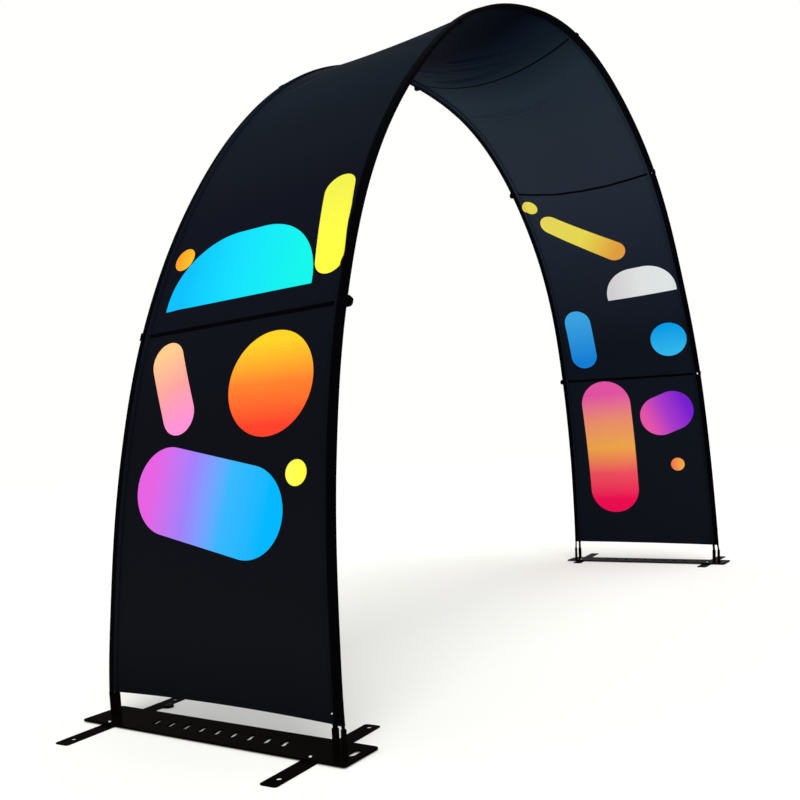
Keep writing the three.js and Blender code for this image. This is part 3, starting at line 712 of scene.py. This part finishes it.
def coated_metal(name, colour, roughness, shine, grain):
    """Powder coat baked on steel: a soft gloss over a fine, even orange peel."""
    material, tree, surface = new_material(name)
    place = add_node(tree, "ShaderNodeTexCoord").outputs["Object"]
    peel = add_node(tree, "ShaderNodeTexNoise", {"Scale": 1 / grain, "Detail": 3.0}, {0: place})
    wear = add_node(tree, "ShaderNodeTexNoise", {"Scale": 14.0, "Detail": 4.0}, {0: place})
    gloss = add_node(tree, "ShaderNodeMapRange",
                     {"To Min": roughness - 0.07, "To Max": roughness + 0.09},
                     {"Value": wear.outputs["Fac"]})
    bump = add_node(tree, "ShaderNodeBump", {"Strength": 0.25, "Distance": 0.0002},
                    {"Height": peel.outputs["Fac"]})
    surface.inputs["Base Color"].default_value = linear(colour)
    tree.links.new(gloss.outputs[0], surface.inputs["Roughness"])
    tree.links.new(bump.outputs[0], surface.inputs["Normal"])
    surface.inputs["Specular IOR Level"].default_value = shine
    return material


def moulded_plastic():
    """Injection-moulded black nylon with a fine spark finish from the mould."""
    material, tree, surface = new_material("moulded_black_nylon")
    place = add_node(tree, "ShaderNodeTexCoord").outputs["Object"]
    spark = add_node(tree, "ShaderNodeTexNoise", {"Scale": 1400.0, "Detail": 2.0}, {0: place})
    bump = add_node(tree, "ShaderNodeBump", {"Strength": 0.2, "Distance": 0.0001},
                    {"Height": spark.outputs["Fac"]})
    tree.links.new(bump.outputs[0], surface.inputs["Normal"])
    surface.inputs["Base Color"].default_value = linear("#040405")
    surface.inputs["Roughness"].default_value = 0.48
    surface.inputs["Specular IOR Level"].default_value = 0.002
    return material


def plain_rubber():
    """Pressed black rubber, dull and faintly dusty."""
    material, tree, surface = new_material("pressed_black_rubber")
    surface.inputs["Base Color"].default_value = linear("#0B0B0B")
    surface.inputs["Roughness"].default_value = 0.8
    surface.inputs["Specular IOR Level"].default_value = 0.05
    return material


def bright_metal(name, colour, roughness):
    """Plated metal, bright enough to catch a point of light."""
    material, tree, surface = new_material(name)
    surface.inputs["Base Color"].default_value = linear(colour)
    surface.inputs["Metallic"].default_value = 1.0
    surface.inputs["Roughness"].default_value = roughness
    return material


cloth_material = printed_cloth()
binding_material = seam_binding()
pole_material = coated_metal("satin_coated_tube", "#040405", 0.4, 0.004, 0.0009)
steel_material = coated_metal("black_powder_coated_steel", "#070504", 0.24, 0.0004, 0.0008)
clip_material = moulded_plastic()
rubber_material = plain_rubber()
stud_material = bright_metal("nickel_plated_stud", "#C8C8C2", 0.22)
zinc_material = bright_metal("bright_zinc_plated_bolt", "#E4E6E4", 0.34)

# ---------- cloth and seams ----------

for index, name in enumerate(panel_names):
    shell = Shell()
    shell.add(*membrane(index))
    for side in (-1, 1):
        for stretch in sleeve(index, side):
            shell.add(*stretch)
    panel = shell.piece(f"printed_panel_{name}", cloth_material)
    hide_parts(f"cloth_panel_{name}")


def tape_rings(seam):
    """A seam binding's section at every strip of the cloth, under its inner face."""
    across = np.linspace(-1, 1, across_count + 1)[2:-2]
    top = -cloth / 2 - touch_gap / 2
    corners = [(-tape_width / 2, top), (tape_width / 2, top),
               (tape_width / 2 - 0.5, top - tape_thick), (0.5 - tape_width / 2, top - tape_thick)]
    rings = []
    for onward, out in corners:
        along = (seam["front"] * (1 - across) + seam["back"] * (1 + across)) / 2 + onward
        at = station(along)
        y = across * (at["half"] - sleeve_root + cloth / 2)
        lift = out - at["sag"] * (1 - across**2) - trough(along, y) * (1 - across**8)
        rings.append(to_row(at["x"] + at["out_x"] * lift, y, at["z"] + at["out_z"] * lift))
    return np.stack(rings, axis=1)


def closed_tube(rings):
    """Points and faces of a solid bar from its rings of points, with flat ends."""
    rows, count = rings.shape[:2]
    faces = [tuple(int(v) for v in f) for f in ring_faces(rows, count)]
    faces.append(tuple(range(count - 1, -1, -1)))
    faces.append(tuple(range((rows - 1) * count, rows * count)))
    points = rings.reshape(-1, 3)
    return points, facing_out(points, faces)


for seam in seams:
    tape = new_piece(f"seam_binding_{seam['name']}", *closed_tube(tape_rings(seam)), binding_material)
    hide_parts(f"seam_tape_{seam['name']}")

for index, name in enumerate(panel_names):
    flat_width(index)
    flat_length(index)

# ---------- poles ----------

pole_steps, pole_sides = 420, 20


def pole_centre(side, inside, foot_y):
    """The middle line of one pole, upright at each foot and along the cloth's edge between."""
    edge = "front" if side < 0 else "back"
    along = np.linspace(ends[0][edge], ends[-1][edge], pole_steps)
    at = station(along)
    low = plate_top + touch_gap
    high = plate_top + socket["height"] + socket["upright_above"]
    lead = np.array([low, (low + high) / 2, high])
    x = np.concatenate([[-arch_reach["near"][0]] * 3, at["x"], [arch_reach["far"][0]] * 3])
    y = np.concatenate([[foot_y] * 3, at["half"] - inside, [foot_y] * 3]) * side
    z = np.concatenate([lead, at["z"], lead[::-1]])
    return np.stack([x, y, z], axis=-1)


def tube_rings(centre, radius, sides):
    """Round sections square to a line that lies in an upright plane along X."""
    run = np.gradient(centre, axis=0)
    run /= np.linalg.norm(run, axis=1)[:, None]
    level_way = np.tile([0.0, 1.0, 0.0], (len(centre), 1))
    level_way -= run * np.sum(run * level_way, axis=1)[:, None]
    level_way /= np.linalg.norm(level_way, axis=1)[:, None]
    square_way = np.cross(run, level_way)
    turn = np.arange(sides) / sides * 2 * math.pi
    ring = (np.cos(turn)[None, :, None] * level_way[:, None, :]
            + np.sin(turn)[None, :, None] * square_way[:, None, :])
    points = centre[:, None, :] + radius * ring
    return to_row(points[..., 0], points[..., 1], points[..., 2])


for side, edge in ((-1, "front"), (1, "back")):
    for kind, inside, radius, foot_y in (("thick", thick_inside, thick_radius, thick_foot),
                                         ("thin", thin_inside, thin_radius, thin_foot)):
        rings = tube_rings(pole_centre(side, inside, foot_y), radius, pole_sides)
        pole = new_piece(f"{kind}_pole_{edge}", *closed_tube(rings), pole_material)
        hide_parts(f"pole_{kind}_{edge}")

# ---------- bases ----------


def arc(x, y, radius, start, end, steps=10):
    """Points along part of a circle, its ends in degrees."""
    turns = np.radians(np.linspace(start, end, steps))
    return np.stack([x + radius * np.cos(turns), y + radius * np.sin(turns)], -1)


def round_hole(x, y, radius):
    return arc(x, y, radius, 0, 360, 33)[:-1]


def slot_hole(x, y, width, length, degrees):
    """A slot with round ends, its length lying along the direction given."""
    way = np.array([math.cos(math.radians(degrees)), math.sin(math.radians(degrees))])
    middle = np.array([x, y])
    half_run = way * (length - width) / 2
    return np.concatenate([arc(*(middle + half_run), width / 2, degrees - 90, degrees + 90),
                           arc(*(middle - half_run), width / 2, degrees + 90, degrees + 270)])


def rounded_rectangle(low_x, high_x, half, corner):
    return np.concatenate([
        arc(high_x - corner, corner - half, corner, -90, 0),
        arc(high_x - corner, half - corner, corner, 0, 90),
        arc(low_x + corner, half - corner, corner, 90, 180),
        arc(low_x + corner, corner - half, corner, 180, 270),
    ])


def cut_steel(name, outlines, low, high, edge=0.5):
    """Flat steel cut to its outlines, the holes after the rim, with slightly eased edges."""
    curve = bpy.data.curves.new(name, "CURVE")
    curve.dimensions = "2D"
    curve.fill_mode = "BOTH"
    curve.extrude = ((high - low) / 2 - edge) * MM
    curve.bevel_depth = edge * MM
    curve.bevel_resolution = 2
    curve.offset = -edge * MM
    for outline in outlines:
        spline = curve.splines.new("POLY")
        spline.points.add(len(outline) - 1)
        for point, (x, y) in zip(spline.points, outline):
            point.co = (x * MM, y * MM, 0, 1)
        spline.use_cyclic_u = True
    drawn = bpy.data.objects.new(name, curve)
    bpy.context.scene.collection.objects.link(drawn)
    bpy.context.view_layer.update()
    graph = bpy.context.evaluated_depsgraph_get()
    solid = bpy.data.meshes.new_from_object(drawn.evaluated_get(graph))
    bpy.data.objects.remove(drawn)
    points = np.array([v.co for v in solid.vertices]) / MM
    points[:, 2] += (low + high) / 2
    return points, [tuple(face.vertices) for face in solid.polygons]


def placed(points, middle, degrees):
    """Points turned about the upright and moved to their place in the row frame, in metres."""
    turn = math.radians(degrees)
    x = points[:, 0] * math.cos(turn) - points[:, 1] * math.sin(turn) + middle[0]
    y = points[:, 0] * math.sin(turn) + points[:, 1] * math.cos(turn) + middle[1]
    return to_row(x, y, points[:, 2])


plate_middle = {
    "near": (plate_set["near"]["x"] - arch_reach["near"][0], plate_set["near"]["y"]),
    "far": (plate_set["far"]["x"] + arch_reach["far"][0], plate_set["far"]["y"]),
}


def on_plate(leg, x, y):
    """A spot of the arch's own frame as its plate's across and onward distances."""
    turn = math.radians(plate_set[leg]["turn"])
    x, y = x - plate_middle[leg][0], y - plate_middle[leg][1]
    return x * math.cos(turn) + y * math.sin(turn), y * math.cos(turn) - x * math.sin(turn)


def plate_outlines(leg):
    half_across, half_onward = plate["width"] / 2, plate["length"] / 2
    outlines = [rounded_rectangle(-half_across, half_across, half_onward, plate["corner"]),
                slot_hole(plate_set[leg]["slot_x"], carry_slot["y"], carry_slot["width"],
                          carry_slot["length"], 0)]
    for foot in foot_bars:
        if foot["leg"] == leg:
            turn = math.radians(foot["turn"])
            x, y = on_plate(leg, plate_middle[leg][0] + foot["bolt"] * math.cos(turn),
                            foot["y"] + foot["bolt"] * math.sin(turn))
            outlines.append(round_hole(x, y, bolt_hole_radius))
    for i in range(vents["count"]):
        y = vents["middle_y"] + (i - (vents["count"] - 1) / 2) * vents["pitch"]
        outlines.append(slot_hole(0, y, vents["width"], vents["length"], vents["lean"]))
    return outlines


def bar_outlines(foot):
    low, high = foot["shift"] - bar["length"] / 2, foot["shift"] + bar["length"] / 2
    return [rounded_rectangle(low, high, bar["width"] / 2, bar["corner"]),
            round_hole(low + foot["from_ends"][0], 0, bar["hole"]),
            round_hole(high - foot["from_ends"][1], 0, bar["hole"]),
            round_hole(foot["bolt"], 0, bolt_hole_radius)]


def socket_profile(radius):
    """Half section of a pole socket with its weld: distances from its middle and heights."""
    bore = radius + socket["ease"]
    wall = bore + socket["wall"]
    low, high = plate_top - socket["weld"], plate_top + socket["height"]
    return [(bore, low), (wall + 2.4, low), (wall + 2.4, plate_top), (wall + 1.7, plate_top + 1.1),
            (wall + 0.6, plate_top + 2.0), (wall, plate_top + 2.6), (wall, high - 0.7),
            (wall - 0.2, high - 0.2), (wall - 0.7, high), (bore + 0.7, high),
            (bore + 0.2, high - 0.2), (bore, high - 0.7)]


def turned(profile, x, y, sides=40):
    """A ring-shaped body turned about the upright at one spot."""
    turns = np.arange(sides + 1) / sides * 2 * math.pi
    radius, height = np.array(profile).T
    points = to_row(x + np.cos(turns)[:, None] * radius, y + np.sin(turns)[:, None] * radius,
                    np.broadcast_to(height, (sides + 1, len(height))))
    faces = [tuple(int(v) for v in face) for face in ring_faces(sides + 1, len(profile))]
    points = points.reshape(-1, 3)
    return points, facing_out(points, faces)


for leg in ("near", "far"):
    spec = plate_set[leg]
    points, faces = cut_steel(f"plate_{leg}", plate_outlines(leg), plate_low, plate_top)
    points = placed(points, plate_middle[leg], spec["turn"])
    steel = new_piece(f"steel_plate_{leg}", points, faces, steel_material)
    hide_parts(f"base_plate_{leg}")
    foot_x = plate_middle[leg][0] - spec["x"]
    for side, edge in ((-1, "front"), (1, "back")):
        for kind, radius, foot_y in (("thick", thick_radius, thick_foot),
                                     ("thin", thin_radius, thin_foot)):
            tube = new_piece(f"{kind}_socket_{leg}_{edge}",
                             *turned(socket_profile(radius), foot_x, side * foot_y), steel_material)
            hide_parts(f"base_plate_{leg}")

for foot in foot_bars:
    points, faces = cut_steel(f"bar_{foot['name']}", bar_outlines(foot), 0, bar["thick"])
    points = placed(points, (plate_middle[foot["leg"]][0], foot["y"]), foot["turn"])
    steel = new_piece(f"steel_bar_{foot['name']}", points, faces, steel_material)
    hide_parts(f"foot_bar_{foot['name']}")

# ---------- small hard parts ----------

hard_parts = [
    {"starts": "clip", "material": clip_material, "slot": "clip", "rounding": 0.7},
    {"starts": "rubber_pad", "material": rubber_material, "slot": "rubber", "rounding": 2.0},
    {"starts": "bar_bolt", "material": zinc_material, "slot": "bolt", "rounding": 0.5},
    {"starts": "hem_stud", "material": stud_material, "slot": "stud", "rounding": 0.6},
]
for part in hard_parts:
    for name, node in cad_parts.items():
        if name.startswith(part["starts"]):
            node.data.materials.clear()
            node.data.materials.append(part["material"])
            node.data.polygons.foreach_set("use_smooth", np.ones(len(node.data.polygons), bool))
            weld = node.modifiers.new("weld", "WELD")
            weld.merge_threshold = 0.02 * MM
            rounding = node.modifiers.new("rounding", "BEVEL")
            rounding.width = part["rounding"] * MM
            rounding.segments = 2
            rounding.limit_method = "ANGLE"
            rounding.angle_limit = math.radians(40)
            rounding.harden_normals = True

# ---------- floor and light ----------


def flat_square(name, half, height, material):
    corners = [(-half, -half, height), (half, -half, height), (half, half, height),
               (-half, half, height)]
    mesh = bpy.data.meshes.new(name)
    mesh.from_pydata(corners, [], [(0, 1, 2, 3)])
    mesh.materials.append(material)
    square = bpy.data.objects.new(name, mesh)
    bpy.context.scene.collection.objects.link(square)
    return square


def studio_floor():
    """Seamless white paper, whose own colour reaches white to the eye and keeps the shadows."""
    material, tree, surface = new_material("seamless_white_paper")
    surface.inputs["Base Color"].default_value = linear("#F0F0EC")
    surface.inputs["Roughness"].default_value = 1.0
    surface.inputs["Specular IOR Level"].default_value = 0.0
    rays = add_node(tree, "ShaderNodeLightPath").outputs
    seen = maths(tree, "MAXIMUM", rays["Is Camera Ray"], rays["Is Glossy Ray"])
    surface.inputs["Emission Color"].default_value = (1.0, 1.0, 0.985, 1)
    tree.links.new(maths(tree, "MULTIPLY", seen, 0.14), surface.inputs["Emission Strength"])
    return material


flat_square("floor", 60, 0, studio_floor())

world = bpy.data.worlds.new("studio")
bpy.context.scene.world = world
world.use_nodes = True
sky = world.node_tree
sky.nodes.clear()
rays = add_node(sky, "ShaderNodeLightPath").outputs
seen = maths(sky, "MAXIMUM", rays["Is Camera Ray"],
             maths(sky, "MAXIMUM", rays["Is Glossy Ray"], rays["Is Transmission Ray"]))
strength = add_node(sky, "ShaderNodeMapRange", {"To Min": 0.7, "To Max": 1.0}, {"Value": seen})
glow = add_node(sky, "ShaderNodeBackground", {"Color": (1.0, 1.0, 0.985, 1)},
                {"Strength": strength.outputs[0]})
sky_output = add_node(sky, "ShaderNodeOutputWorld")
sky.links.new(glow.outputs[0], sky_output.inputs["Surface"])

lamps = [
    {"name": "window_light", "from": (-0.5, -0.32, 0.8), "strength": 1.5, "spread": 40},
    {"name": "fill_light", "from": (-0.3, -0.9, 0.35), "strength": 0.3, "spread": 80},
]
for row in lamps:
    data = bpy.data.lights.new(row["name"], "SUN")
    data.energy = row["strength"]
    data.angle = math.radians(row["spread"])
    lamp = bpy.data.objects.new(row["name"], data)
    lamp.rotation_euler = Vector(row["from"]).to_track_quat("Z", "Y").to_euler()
    bpy.context.scene.collection.objects.link(lamp)

bpy.context.scene.view_settings.view_transform = "Standard"
